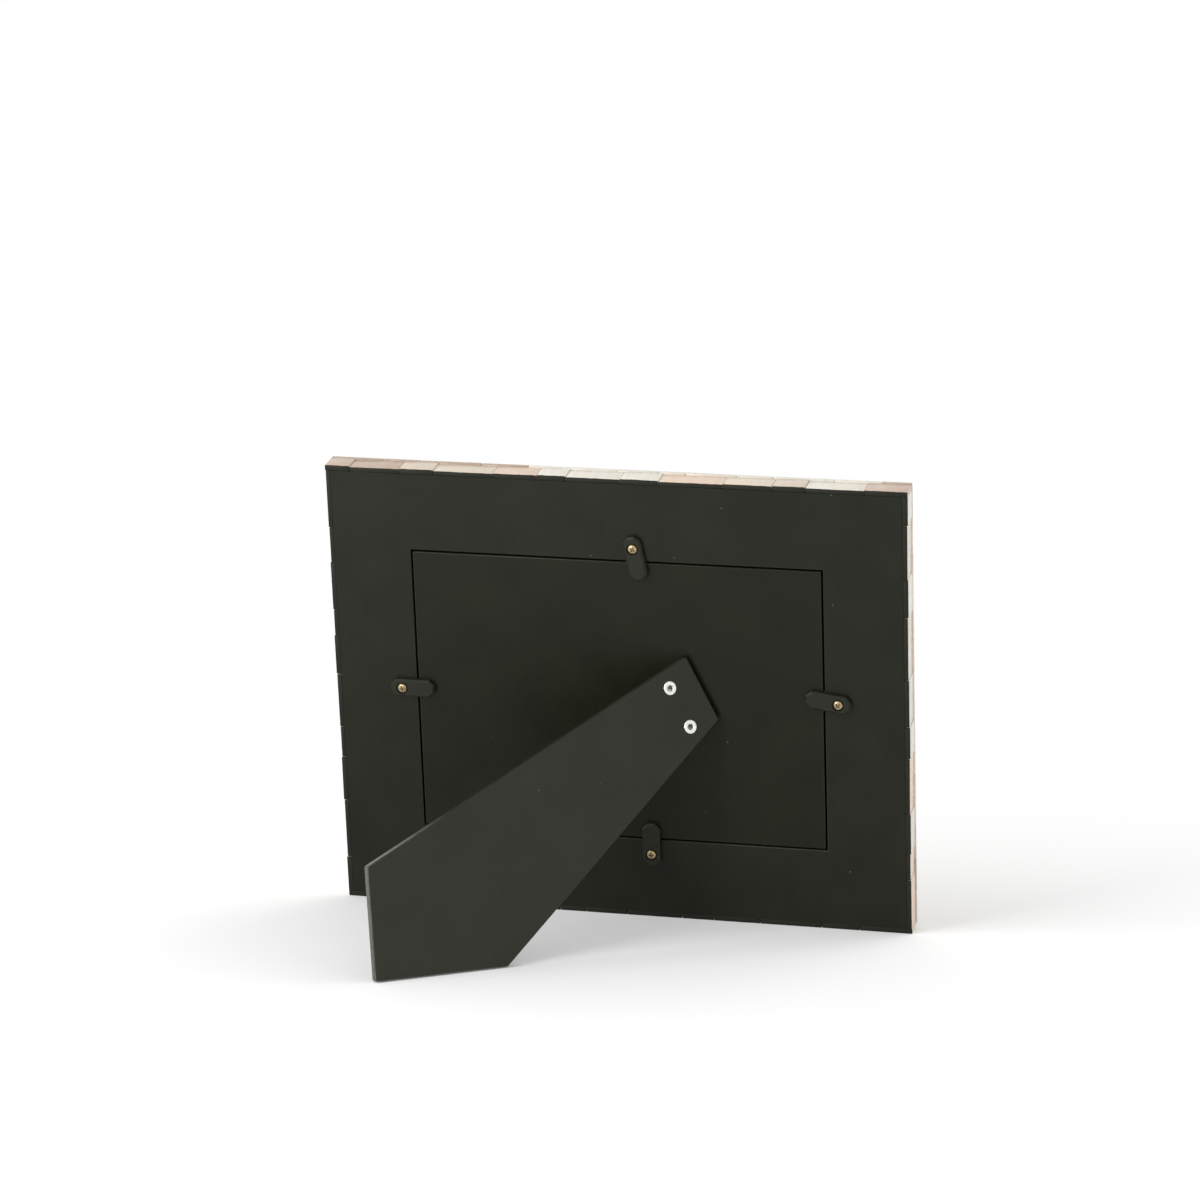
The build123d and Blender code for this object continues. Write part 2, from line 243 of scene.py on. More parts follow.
class FittingSettings(PropertyGroup):
    """Turn buttons, screws, rivets, eyelets and hinge."""

    plastic: colour("Plastic", "Moulded turn buttons", (0.0165, 0.0165, 0.0100))
    dusty: share("Dusty", "How many places on the buttons have a speck", 0.2)
    brass: colour("Brass", "Screws of the turn buttons", (0.425, 0.337, 0.200))
    tarnish: colour("Tarnish", "Duller brass", (0.160, 0.100, 0.040))
    brass_dullness: share("Brass dullness", "Least roughness of the screws", 0.32)
    steel: colour("Steel", "Hinge leaves, pin and rivets", (0.560, 0.555, 0.540))
    dull_steel: colour("Dull steel", "Dull patches of the steel", (0.308, 0.30525, 0.297))
    hinge_dullness: share("Hinge dullness", "Least roughness of the hinge", 0.28)
    rivet_dullness: share("Rivet dullness", "Least roughness of the rivets", 0.24)
    nickel: colour("Nickel", "Bright eyelets", (0.860, 0.855, 0.830))
    nickel_dullness: share("Nickel dullness", "Least roughness of the eyelets", 0.16)
    screw_radius: size("Screw head radius", "Half the width of a screw head", 1.75)
    screw_rim: size("Screw rim", "Straight part of a screw head", 0.6)
    screw_shank: size("Screw shank radius", "Half the width of a screw's shank", 1.1)
    screw_turn: angle("Screw turn", "Turn of the first screw's cross", 20)
    screw_step: angle("Screw step", "Turn from one screw's cross to the next", 37)
    slot_length: size("Slot length", "Cross recess from end to end", 2.0)
    slot_width: size("Slot width", "Width of the cross recess", 0.5)
    slot_depth: size("Slot depth", "Depth of the cross recess", 0.6)
    rivet_radius: size("Rivet head radius", "Half the width of a rivet head", 2.2)
    rivet_rim: size("Rivet rim", "Straight part of a rivet head", 0.3)
    rivet_shank: size("Rivet shank radius", "Half the width of a rivet's shank", 1.2)
    eyelet_bore: size("Eyelet bore", "Radius of the hole through an eyelet", 0.95)
    eyelet_barrel: size("Eyelet barrel", "Outer radius of the eyelet in the leg", 1.6)
    eyelet_clench: size("Eyelet clench", "Outer radius of the eyelet's inner lip", 2.3)


class StudioSettings(PropertyGroup):
    """Glass, paper, floor, light and camera."""

    glass: colour("Glass", "Tint of the glass", (0.965, 0.985, 0.975))
    paper: colour("Paper", "Blank sheet behind the glass", (0.920, 0.910, 0.885))
    air: size("Air", "Air between the glass and the sheet", 0.06)
    floor: colour("Floor", "Pale floor", (0.97, 0.97, 0.97))
    glow: share("Glow", "Extra white of the floor to the camera", 0.1)
    sky: share("Sky", "Even light from all round", 0.6)
    key: number("Key", "Soft light from the upper left of the back", 1.0)
    key_spread: angle("Key spread", "Breadth of the key", 35)
    fill: number("Fill", "Soft light on the picture side", 0.7)
    fill_spread: angle("Fill spread", "Breadth of the fill", 60)
    box: number("Box", "Near light box at the left of the back", 1.8)
    box_size: size("Box size", "Width of the light box", 140)
    aim: spot("Aim", "Point in the middle of the view", (8.9, -44.88, 122.9))
    distance: size("Distance", "Camera to the point that it aims at", 1728.6)
    azimuth: angle("Azimuth", "Camera's turn round the frame, from the picture side", 193.69)
    elevation: angle("Elevation", "Camera's height over the horizon", 10.35)
    roll: angle("Roll", "Camera's turn about its view", 0.52)
    lens: number("Lens", "Focal length on a 36 mm film", 138.86)


# Building blocks for node trees

def put(tree, kind, inputs=None, **settings):
    """Add a node, set its settings, and link or set its inputs by name or number."""
    node = tree.nodes.new(kind)
    for key, value in settings.items():
        setattr(node, key, value)
    for key, value in (inputs or {}).items():
        if isinstance(value, bpy.types.NodeSocket):
            tree.links.new(value, node.inputs[key])
        else:
            node.inputs[key].default_value = value
    return node


def result(tree, kind, inputs=None, **settings):
    """The first output of a new node."""
    return put(tree, kind, inputs, **settings).outputs[0]


def node_group(name, kind, inputs, outputs):
    """Make a function that links up a tree into one that builds its node group once.

    The function gets the tree and the group's inputs, and returns its results by name.
    """
    def prepare(link_up):
        kept = []

        def fetch():
            if not kept:
                tree = bpy.data.node_groups.new(name, kind)
                for way, sockets in (("INPUT", inputs), ("OUTPUT", outputs)):
                    for label, socket in sockets.items():
                        tree.interface.new_socket(
                            label, in_out=way, socket_type="NodeSocket" + socket
                        )
                source = tree.nodes.new("NodeGroupInput").outputs
                sink = tree.nodes.new("NodeGroupOutput").inputs
                for label, socket in link_up(tree, source).items():
                    tree.links.new(socket, sink[label])
                kept.append(tree)
            return kept[0]

        return fetch

    return prepare


def floats(*labels):
    """Group sockets for plain numbers."""
    return dict.fromkeys(labels, "Float")


def sum_of(tree, operation, *values, clamp=False):
    """The result of a Math node."""
    inputs = dict(enumerate(values))
    return result(tree, "ShaderNodeMath", inputs, operation=operation, use_clamp=clamp)


def scaled(tree, value, factor):
    """A colour or a vector times a factor."""
    return result(tree, "ShaderNodeVectorMath", {0: value, "Scale": factor}, operation="SCALE")


def split(tree, place):
    """The x, y and z of a place."""
    return put(tree, "ShaderNodeSeparateXYZ", {0: place}).outputs


def remap(tree, value, low, high, to_low=0.0, to_high=1.0):
    """A value carried smoothly from one range to another."""
    inputs = {0: value, 1: low, 2: high, 3: to_low, 4: to_high}
    return result(tree, "ShaderNodeMapRange", inputs, interpolation_type="SMOOTHSTEP")


def mix(tree, factor, first, second):
    """A mix of two colours."""
    inputs = {0: factor, 6: first, 7: second}
    return put(tree, "ShaderNodeMix", inputs, data_type="RGBA").outputs[2]


def noise(tree, place, scale=1.0, detail=3.0, roughness=0.5, distortion=0.0):
    """Noise from 0 to 1."""
    inputs = {
        "Vector": place, "Scale": scale, "Detail": detail, "Roughness": roughness,
        "Distortion": distortion,
    }
    return result(tree, "ShaderNodeTexNoise", inputs)


def stretched(tree, place, scale):
    """A place with its three directions scaled apart."""
    return result(tree, "ShaderNodeMapping", {"Vector": place, "Scale": scale})


def placed(tree, axes):
    """Places on a piece, in millimetres along the given axes."""
    inputs = {
        "Vector": put(tree, "ShaderNodeTexCoord").outputs["Object"],
        "Location": axes.translation, "Rotation": axes.to_euler(), "Scale": (MM, MM, MM),
    }
    return result(tree, "ShaderNodeMapping", inputs, vector_type="TEXTURE")


def attribute(tree, name, output="Fac"):
    """An attribute of the piece's own mesh."""
    return put(tree, "ShaderNodeAttribute", attribute_name=name).outputs[output]


def effect(tree, group, **inputs):
    """The outputs of a shared effect, placed in a material with its own values."""
    named_inputs = {label.replace("_", " "): value for label, value in inputs.items()}
    return put(tree, "ShaderNodeGroup", named_inputs, node_tree=group()).outputs


def new_material(name, **constants):
    """A material, its tree and its Principled shader with plain socket values."""
    material = bpy.data.materials.new(name)
    material.use_nodes = True
    tree = material.node_tree
    shader = next(node for node in tree.nodes if node.type == "BSDF_PRINCIPLED")
    for label, value in constants.items():
        shader.inputs[label.replace("_", " ")].default_value = value
    return material, tree, shader


def dress(tree, shader, tint, roughness=None, height=None, depth=0.02 * MM, strength=0.5):
    """Link a finish to a shader: colour, roughness and a bump of a real depth."""
    tree.links.new(tint, shader.inputs["Base Color"])
    if roughness is not None:
        tree.links.new(roughness, shader.inputs["Roughness"])
    if height is not None:
        inputs = {"Strength": strength, "Distance": depth, "Height": height}
        tree.links.new(result(tree, "ShaderNodeBump", inputs), shader.inputs["Normal"])


def rgba(value):
    """A colour setting as four numbers."""
    return (*value, 1.0)


# Shared surface effects

SURFACE = {"Colour": "Color", "Roughness": "Float", "Height": "Float"}


@node_group(
    "Paint Skin", "ShaderNodeTree",
    {"Place": "Vector", "Paint": "Color", "Rubbed Paint": "Color", "Rub": "Float"}, SURFACE,
)
def paint_skin(tree, source):
    """Sprayed paint: soft clouds, a fine stipple, and edges paler as rubbed paint and painted
    highlight.
    """
    place = source["Place"]
    clouds = noise(tree, place, scale=0.045, detail=4.0, roughness=0.55)
    stipple = noise(tree, place, scale=1.9, detail=2.0, roughness=0.6)
    brushed = noise(tree, stretched(tree, place, (0.9, 0.025, 0.9)), roughness=0.6)
    patches = noise(tree, place, scale=0.55, roughness=0.6)
    light = sum_of(tree, "ADD", remap(tree, clouds, 0.25, 0.75, 0.84, 1.1),
                   remap(tree, brushed, 0.3, 0.7, -0.03, 0.04))
    rub = sum_of(tree, "MULTIPLY", source["Rub"],
                 remap(tree, patches, 0.28, 0.62, 0.35, 1.0), clamp=True)
    even = scaled(tree, source["Paint"], light)
    return {
        "Colour": mix(tree, rub, even, source["Rubbed Paint"]),
        "Roughness": sum_of(tree, "ADD", remap(tree, clouds, 0.2, 0.8, 0.32, 0.42),
                            remap(tree, stipple, 0.2, 0.8, -0.05, 0.05)),
        "Height": sum_of(tree, "MULTIPLY_ADD", brushed, 0.25, stipple),
    }


@node_group(
    "Dust Specks", "ShaderNodeTree", {"Place": "Vector", "Amount": "Float"}, floats("Mask")
)
def dust_specks(tree, source):
    """Sparse fine specks, each a fraction of a millimetre."""
    cells = put(tree, "ShaderNodeTexVoronoi", {"Vector": source["Place"], "Scale": 0.22}).outputs
    chance = result(tree, "ShaderNodeSeparateColor", {0: cells["Color"]})
    there = sum_of(tree, "LESS_THAN", chance, source["Amount"])
    speck = remap(tree, cells["Distance"], 0.02, 0.06, 1.0, 0.0)
    return {"Mask": sum_of(tree, "MULTIPLY", there, speck)}


@node_group(
    "Shell Figure", "ShaderNodeTree",
    {"Place": "Vector", "Tone": "Float", "Chance": "Vector"}
    | {tone.title(): "Color" for tone in TONES}, SURFACE,
)
def shell_figure(tree, source):
    """Polished shell: a tone for each tile, clouds, growth bands and fine flecks."""
    tint = source["Cream"]
    for step, tone in enumerate(TONES[1:]):
        past = sum_of(tree, "GREATER_THAN", source["Tone"], step + 0.5)
        tint = mix(tree, past, tint, source[tone.title()])
    chance = split(tree, source["Chance"])
    turned = result(tree, "ShaderNodeVectorRotate", {
        "Vector": source["Place"], "Angle": sum_of(tree, "MULTIPLY", chance[0], pi),
    }, rotation_type="AXIS_ANGLE")
    spread = 400.0  # millimetres of the pattern that the tiles are cut from
    away = scaled(tree, source["Chance"], spread)
    place = result(tree, "ShaderNodeVectorMath", {0: turned, 1: away})
    clouds = noise(tree, place, scale=0.11, detail=4.0, roughness=0.55, distortion=0.6)
    fine = noise(tree, place, scale=1.3, roughness=0.6)
    streaks = noise(tree, stretched(tree, place, (1.0, 4.0, 2.0)), scale=0.5, detail=2.0)
    bands = put(tree, "ShaderNodeTexWave", {
        "Vector": place, "Scale": 0.085, "Distortion": 7.0, "Detail": 3.0, "Detail Scale": 0.35,
        "Detail Roughness": 0.55,
    }).outputs["Fac"]
    tint = scaled(tree, tint, remap(tree, chance[1], 0.0, 1.0, 0.93, 1.06))
    tint = mix(tree, remap(tree, clouds, 0.45, 0.8, 0.0, 0.5), tint, source["Pearl"])
    tint = mix(tree, remap(tree, clouds, 0.5, 0.2, 0.0, 0.4), tint, source["Peach"])
    tint = mix(tree, remap(tree, bands, 0.55, 1.0, 0.0, 0.1), tint, source["Rose"])
    tint = mix(tree, remap(tree, streaks, 0.66, 0.78, 0.0, 0.35), tint, source["Tan"])
    return {
        "Colour": tint, "Roughness": remap(tree, clouds, 0.2, 0.8, 0.22, 0.36),
        "Height": sum_of(tree, "MULTIPLY_ADD", bands, 0.4, fine),
    }


@node_group(
    "Fine Scratches", "ShaderNodeTree", {"Place": "Vector", "Dullness": "Float"},
    floats("Roughness", "Height", "Patches"),
)
def fine_scratches(tree, source):
    """Handled metal: hair scratches one way, and soft dull patches."""
    hairs = noise(tree, stretched(tree, source["Place"], (9.0, 0.5, 2.0)), roughness=0.6)
    patches = remap(tree, noise(tree, source["Place"], scale=0.7), 0.35, 0.7)
    rough = sum_of(tree, "MULTIPLY_ADD", patches, 0.12, source["Dullness"])
    return {
        "Roughness": sum_of(tree, "MULTIPLY_ADD", hairs, 0.06, rough), "Height": hairs,
        "Patches": patches,
    }


# Finishes

def painted_wood(name, paint, gloss, settings, axes, worn_and_lit_end=None):
    """Black paint on fibreboard, a little dust, and edges paler as rubbing and painted highlight.

    Where only one end is worn, the edges are paler beyond two places in millimetres along x,
    as rubbing and painted light, and before them are as dark as the boards, as painted shade.
    """
    material, tree, shader = new_material(name, Specular_IOR_Level=gloss)
    place = placed(tree, axes)
    # The rubbed attribute marks edges painted paler, as rubbing and painted highlight
    rub, tint = attribute(tree, "rubbed"), rgba(paint)
    # On the leg, edges near the hinge keep the boards' darker paint as painted shade, and grow
    # paler towards the foot as rubbing and painted light
    if worn_and_lit_end:
        tint = mix(tree, rub, tint, rgba(settings.board))
        rub = sum_of(tree, "MULTIPLY", rub, remap(tree, split(tree, place)[0], *worn_and_lit_end))
    skin = effect(
        tree, paint_skin, Place=place, Paint=tint, Rubbed_Paint=rgba(settings.rubbed), Rub=rub
    )
    specks = effect(tree, dust_specks, Place=place, Amount=settings.dusty)["Mask"]
    tint = mix(tree, specks, skin["Colour"], rgba(settings.dust))
    dress(tree, shader, tint, skin["Roughness"], skin["Height"])
    return material


def shell_tile(name, tiles, paint, painted_back):
    """Polished shell, black where the paint of the back runs over the tiles' ends."""
    coat = 0.15
    material, tree, shader = new_material(
        name, Specular_IOR_Level=0.25, Coat_Weight=coat, Coat_Roughness=0.12
    )
    place = placed(tree, BACK)
    tones = {tone.title(): rgba(getattr(tiles, tone)) for tone in TONES}
    figure = effect(
        tree, shell_figure, Place=place, Tone=attribute(tree, "tone"),
        Chance=attribute(tree, "chance", "Vector"), **tones,
    )
    tint, roughness = figure["Colour"], figure["Roughness"]
    if painted_back:
        darker, duller = 0.8, 0.3  # against the paint of the boards, and against the shell
        black = painted_over(tree, place, tiles.paint_line)
        tint = mix(tree, black, tint, rgba([darker * part for part in paint.board]))
        roughness = sum_of(tree, "MULTIPLY_ADD", black, duller, roughness)
        tree.links.new(remap(tree, black, 0.0, 1.0, coat, 0.0), shader.inputs["Coat Weight"])
    dress(tree, shader, tint, roughness, figure["Height"], depth=0.03 * MM, strength=0.35)
    return material


def painted_over(tree, place, line):
    """A mask of the paint that runs from the back onto the edge, down to a ragged line."""
    uneven, soft = 0.16, 0.05  # millimetres to each side of the line
    runs = noise(tree, place, scale=0.35, detail=4.0, roughness=0.6)
    ragged = remap(tree, runs, 0.3, 0.7, -uneven, uneven)
    level = -line / MM
    depth = sum_of(tree, "ADD", split(tree, place)[2], ragged)
    return remap(tree, depth, level - soft, level + soft)


def filler(name, tiles, paint):
    """Sanded filler between the tiles, black where the paint of the back has run into it."""
    material, tree, shader = new_material(name)
    place = placed(tree, BACK)
    grain = noise(tree, place, scale=2.4, detail=4.0, roughness=0.65)
    tint = mix(tree, remap(tree, grain, 0.3, 0.7, 0.0, 0.3), rgba(tiles.grout), rgba(tiles.tan))
    black = painted_over(tree, place, tiles.edge_grout + 2 * tiles.paint_line)
    tint = mix(tree, black, tint, rgba(paint.board))
    dress(tree, shader, tint, remap(tree, grain, 0.2, 0.8, 0.65, 0.85), grain)
    return material


def moulded_plastic(name, fittings, paint):
    """Black moulded plastic: a fine even grain with scuffs and dust."""
    material, tree, shader = new_material(name, Specular_IOR_Level=0.2)
    place = placed(tree, BACK)
    grain = noise(tree, place, scale=3.2, detail=2.0)
    streaks = noise(tree, stretched(tree, place, (0.3, 1.6, 1.0)), detail=4.0)
    scuffs = remap(tree, streaks, 0.6, 0.75)
    paler, duller = 0.12, 0.1  # what a scuff does to the colour and the roughness
    tint = mix(tree, sum_of(tree, "MULTIPLY", scuffs, paler), rgba(fittings.plastic),
               rgba(paint.rubbed))
    specks = effect(tree, dust_specks, Place=place, Amount=fittings.dusty)["Mask"]
    tint = mix(tree, specks, tint, rgba(paint.dust))
    even = remap(tree, grain, 0.2, 0.8, 0.34, 0.44)
    dress(tree, shader, tint, sum_of(tree, "MULTIPLY_ADD", scuffs, duller, even), grain)
    return material


def metal(name, tint, dark, axes, dullness, clean_above=None):
    """Handled metal with hair scratches, darker in dull patches and below a level."""
    patchy, stained = 0.3, 0.9  # shares of the dark in the patches and below the level
    fade = 0.2  # millimetres from the level to the full stain
    material, tree, shader = new_material(name, Metallic=1.0)
    place = placed(tree, axes)
    worn = effect(tree, fine_scratches, Place=place, Dullness=dullness)
    patches = sum_of(tree, "MULTIPLY", worn["Patches"], patchy)
    if clean_above is not None:
        level = clean_above / MM
        low = remap(tree, split(tree, place)[2], level - fade, level, stained, 0.0)
        patches = sum_of(tree, "MAXIMUM", patches, low)
    shade = mix(tree, patches, rgba(tint), rgba(dark))
    dress(tree, shader, shade, worn["Roughness"], worn["Height"], depth=0.004 * MM)
    return material


def clear_glass(name, settings):
    """Clear glass with faint wiping marks."""
    material, tree, shader = new_material(
        name, Base_Color=rgba(settings.glass), IOR=1.5, Transmission_Weight=1.0, Roughness=0.0,
        Coat_Roughness=0.25,
    )
    wiped = noise(tree, stretched(tree, placed(tree, BACK), (0.02, 0.05, 0.02)), detail=4.0,
                  roughness=0.6, distortion=1.0)
    tree.links.new(remap(tree, wiped, 0.45, 0.8, 0.0, 0.3), shader.inputs["Coat Weight"])
    return material


def blank_paper(name, settings):
    """Uncoated paper with fine fibres."""
    material, tree, shader = new_material(name, Specular_IOR_Level=0.2)
    place = placed(tree, BACK)
    fibres = noise(tree, stretched(tree, place, (1.2, 5.0, 1.0)), detail=4.0, roughness=0.65,
                   distortion=1.5)
    clouds = noise(tree, place, scale=0.03)
    shade = sum_of(tree, "ADD", remap(tree, fibres, 0.3, 0.7, -0.03, 0.02),
                   remap(tree, clouds, 0.3, 0.7, 0.97, 1.02))
    tint = scaled(tree, settings.paper, shade)
    dress(tree, shader, tint, remap(tree, fibres, 0.2, 0.8, 0.8, 0.92), fibres)
    return material


# Building blocks for pieces

def cover(mesh, material):
    """Give a mesh one material."""
    mesh.materials.clear()
    mesh.materials.append(material)


def new_piece(name, mesh, material=None):
    """An object at the origin for a mesh whose place is in its corners."""
    piece = bpy.data.objects.new(name, mesh)
    bpy.context.scene.collection.objects.link(piece)
    if material:
        cover(mesh, material)
    return piece


def soften(mesh):
    """Smooth shading, with sharp edges where faces turn by more than a limit."""
    mesh.shade_smooth()
    mesh.set_sharp_from_angle(angle=SMOOTH)


def settle(piece, body, slot, *nodes):
    """Make a piece move with its body and hide the CAD nodes that it stands for; the slot is not
    used.
    """
    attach(piece, body)
    if nodes:
        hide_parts(*nodes)


def repaint(node, material):
    """Give a CAD node that keeps its shape a finish."""
    cover(frame["nodes"][node].data, material)


def kept_mesh(shape, name):
    """A worked shape as a mesh."""
    mesh = bpy.data.meshes.new(name)
    shape.to_mesh(mesh)
    shape.free()
    return mesh


def middle_of(edge):
    """The place halfway along an edge."""
    return (edge.verts[0].co + edge.verts[1].co) / 2


def eased_copy(name, node, material, width, eased, rub, worn=None):
    """A copy of a CAD node whose chosen edges are rounded, and paler as rubbing and painted
    highlight.
    """
    shape = merged_shape(node)
    bmesh.ops.dissolve_limit(shape, angle_limit=ONE_FACE, verts=shape.verts, edges=shape.edges)
    rubbed = shape.faces.layers.float.new("rubbed")
    for face in shape.faces:
        face[rubbed] = worn(face) if worn else 0.0
    sharp = [
        edge for edge in shape.edges
        if len(edge.link_faces) == 2 and edge.calc_face_angle() > SHARP and eased(edge)
    ]
    made = bmesh.ops.bevel(
        shape, geom=sharp, offset=width, segments=BOARD_FACETS, profile=0.5, affect="EDGES",
        clamp_overlap=False,
    )
    rounded = set(made["faces"])
    # Rounded edges are painted paler, as rubbing and painted highlight
    for face in rounded:
        face[rubbed] = rub
    smooth = [face in rounded or face.calc_area() < FLAT_AREA for face in shape.faces]
    mesh = kept_mesh(shape, name)
    soften(mesh)
    mesh.polygons.foreach_set("use_smooth", smooth)
    return new_piece(name, mesh, material)


def thinned_copy(name, node, material, gap):
    """A copy of a flat CAD node whose front face is set back, to leave air before it."""
    shape = merged_shape(node)
    outward = BACK.to_3x3().col[2]
    depths = [vert.co.dot(outward) for vert in shape.verts]
    middle = (min(depths) + max(depths)) / 2
    for vert, depth in zip(shape.verts, depths):
        if depth < middle:
            vert.co += gap * outward
    return new_piece(name, kept_mesh(shape, name), material)


def point_mesh(name, places, **attributes):
    """Loose points that carry attributes, as a start for a node tree."""
    mesh = bpy.data.meshes.new(name)
    mesh.from_pydata([tuple(place) for place in places], [], [])
    for label, values in attributes.items():
        flat = np.array(values, np.float32)
        kind, key = ("FLOAT_VECTOR", "vector") if flat.ndim == 2 else ("FLOAT", "value")
        mesh.attributes.new(label, kind, "POINT").data.foreach_set(key, flat.ravel())
    return mesh


def seat_points(name, solids, axes, level, turn=0.0, step=0.0):
    """A point in the middle of each solid, at one level of the axes, each turned by a step more."""
    places = [axes @ Vector((*(low[:2] + high[:2]) / 2, level)) for low, high in solids]
    turns = [
        (axes @ Matrix.Rotation(turn + step * order, 4, "Z")).to_euler()[:]
        for order in range(len(solids))
    ]
    return point_mesh(name, places, turn=turns)


def grow(name, points, tree, easing=None, **inputs):
    """Run a node tree on loose points, and keep the result as a plain mesh."""
    piece = new_piece(name, points)
    nodes = piece.modifiers.new("Nodes", "NODES")
    nodes.node_group = tree
    for socket in tree.interface.items_tree:
        label = socket.name.replace(" ", "_").lower()
        if socket.in_out == "INPUT" and label in inputs:
            nodes[socket.identifier] = inputs[label]
    if easing:
        bevel = piece.modifiers.new("Easing", "BEVEL")
        bevel.width = easing
        bevel.segments = TILE_FACETS
    graph = bpy.context.evaluated_depsgraph_get()
    mesh = bpy.data.meshes.new_from_object(
        piece.evaluated_get(graph), preserve_all_data_layers=True, depsgraph=graph
    )
    piece.modifiers.clear()
    piece.data = mesh
    mesh.name = name
    bpy.data.meshes.remove(points)
    soften(mesh)
    return piece


# Geometry node trees

GEOMETRY = {"Geometry": "Geometry"}
HEAD_SIZES = floats("Radius", "Rim", "Dome", "Shank Radius", "Shank Length")


def placing_tree(name, sizes):
    """A node group that sets a shape of the given sizes on points."""
    inputs = {"Points": "Geometry", **sizes, "Material": "Material"}
    return node_group(name, "GeometryNodeTree", inputs, GEOMETRY)


def named(tree, name):
    """A vector that the points carry as an attribute."""
    inputs = {"Name": name}
    node = put(tree, "GeometryNodeInputNamedAttribute", inputs, data_type="FLOAT_VECTOR")
    return node.outputs["Attribute"]


def rotation(tree, angles):
    """Three angles as a rotation."""
    return result(tree, "FunctionNodeEulerToRotation", {0: angles})


def on_points(tree, source, instance, **scale):
    """Copies of a shape on the tree's points, turned as the points say."""
    inputs = {"Points": source["Points"], "Instance": instance, **scale}
    inputs["Rotation"] = rotation(tree, named(tree, "turn"))
    return result(tree, "GeometryNodeInstanceOnPoints", inputs)


def made_real(tree, source, copies):
    """The results of a tree: its copies realized, with its material."""
    real = result(tree, "GeometryNodeRealizeInstances", {"Geometry": copies})
    inputs = {"Geometry": real, "Material": source["Material"]}
    return {"Geometry": result(tree, "GeometryNodeSetMaterial", inputs)}


def moved(tree, geometry, **change):
    """Geometry with a Translation or a Scale."""
    return result(tree, "GeometryNodeTransform", {"Geometry": geometry, **change})


def vector(tree, x=0.0, y=0.0, z=0.0):
    """Three values as a vector."""
    return result(tree, "ShaderNodeCombineXYZ", {0: x, 1: y, 2: z})


def combined(tree, operation, parts, first=None):
    """Closed shapes joined into one, or cut out of the first, with no slivers left."""
    whole = put(tree, "GeometryNodeMeshBoolean", operation=operation, solver="MANIFOLD")
    if first:
        tree.links.new(first, whole.inputs["Mesh 1"])
    for part in parts:
        tree.links.new(part, whole.inputs["Mesh 2"])
    inputs = {"Geometry": whole.outputs[0], "Distance": SLIVER}
    return result(tree, "GeometryNodeMergeByDistance", inputs)


@placing_tree("Laid Tiles", {"Lift": "Float", "Skew": "Float", "Seed": "Int"})
def tile_tree(tree, source):
    """Tiles on points: each has its own size, and is lifted and skewed by chance."""

    def by_chance(low, high, draw):
        """A vector for each tile, with its three parts between two values."""
        seed = sum_of(tree, "ADD", source["Seed"], draw)
        inputs = {0: (low,) * 3, 1: (high,) * 3, "Seed": seed}
        return result(tree, "FunctionNodeRandomValue", inputs, data_type="FLOAT_VECTOR")

    block = result(tree, "GeometryNodeMeshCube")
    copies = on_points(tree, source, block, Scale=named(tree, "extent"))
    lift = sum_of(tree, "MULTIPLY", by_chance(0, 1, 1), source["Lift"])
    copies = result(tree, "GeometryNodeTranslateInstances", {
        "Instances": copies, "Translation": scaled(tree, named(tree, "outward"), lift),
        "Local Space": False,
    })
    skew = scaled(tree, by_chance(-1, 1, 2), source["Skew"])
    copies = result(tree, "GeometryNodeRotateInstances", {
        "Instances": copies, "Rotation": rotation(tree, skew), "Local Space": True,
    })
    copies = result(tree, "GeometryNodeStoreNamedAttribute", {
        "Geometry": copies, "Name": "chance", "Value": by_chance(0, 1, 3),
    }, data_type="FLOAT_VECTOR", domain="INSTANCE")
    return made_real(tree, source, copies)


@node_group("Domed Head", "GeometryNodeTree", HEAD_SIZES, GEOMETRY)
def domed_head(tree, source):
    """A round head: a straight rim with a dome on it, over a shank."""

    def cylinder(radius, length, middle):
        inputs = {"Vertices": HEAD_FACETS, "Radius": radius, "Depth": length}
        mesh = result(tree, "GeometryNodeMeshCylinder", inputs)
        return moved(tree, mesh, Translation=vector(tree, z=middle))

    half_rim = sum_of(tree, "MULTIPLY", source["Rim"], 0.5)
    rim = cylinder(source["Radius"], source["Rim"], half_rim)
    inputs = {"Segments": HEAD_FACETS, "Rings": HEAD_FACETS // 2, "Radius": 1.0}
    dome = moved(
        tree, result(tree, "GeometryNodeMeshUVSphere", inputs),
        Translation=vector(tree, z=source["Rim"]),
        Scale=vector(tree, source["Radius"], source["Radius"], source["Dome"]),
    )
    sunk = sum_of(tree, "ADD", source["Shank Length"], half_rim)
    middle = sum_of(tree, "MULTIPLY_ADD", sunk, -0.5, half_rim)
    shank = cylinder(source["Shank Radius"], sunk, middle)
    return {"Geometry": combined(tree, "UNION", (rim, dome, shank))}


def head_in(tree, source):
    """A domed head that takes its sizes from the tree's own inputs."""
    inputs = {label: source[label] for label in HEAD_SIZES}
    return result(tree, "GeometryNodeGroup", inputs, node_tree=domed_head())


@placing_tree("Set Rivets", HEAD_SIZES)
def rivet_tree(tree, source):
    """Plain domed rivets on points."""
    return made_real(tree, source, on_points(tree, source, head_in(tree, source)))


@placing_tree("Driven Screws", HEAD_SIZES | floats("Slot Length", "Slot Width", "Slot Depth"))
def screw_tree(tree, source):
    """Domed screws with a cross recess, on points."""
    top = sum_of(tree, "ADD", source["Rim"], source["Dome"])
    height = sum_of(tree, "MULTIPLY", source["Slot Depth"], 2.0)
    length, width = source["Slot Length"], source["Slot Width"]
    wings = []
    for across, along in ((length, width), (width, length)):
        inputs = {"Size": vector(tree, across, along, height)}
        wing = result(tree, "GeometryNodeMeshCube", inputs)
        wings.append(moved(tree, wing, Translation=vector(tree, z=top)))
    recessed = combined(tree, "DIFFERENCE", wings, head_in(tree, source))
    return made_real(tree, source, on_points(tree, source, recessed))


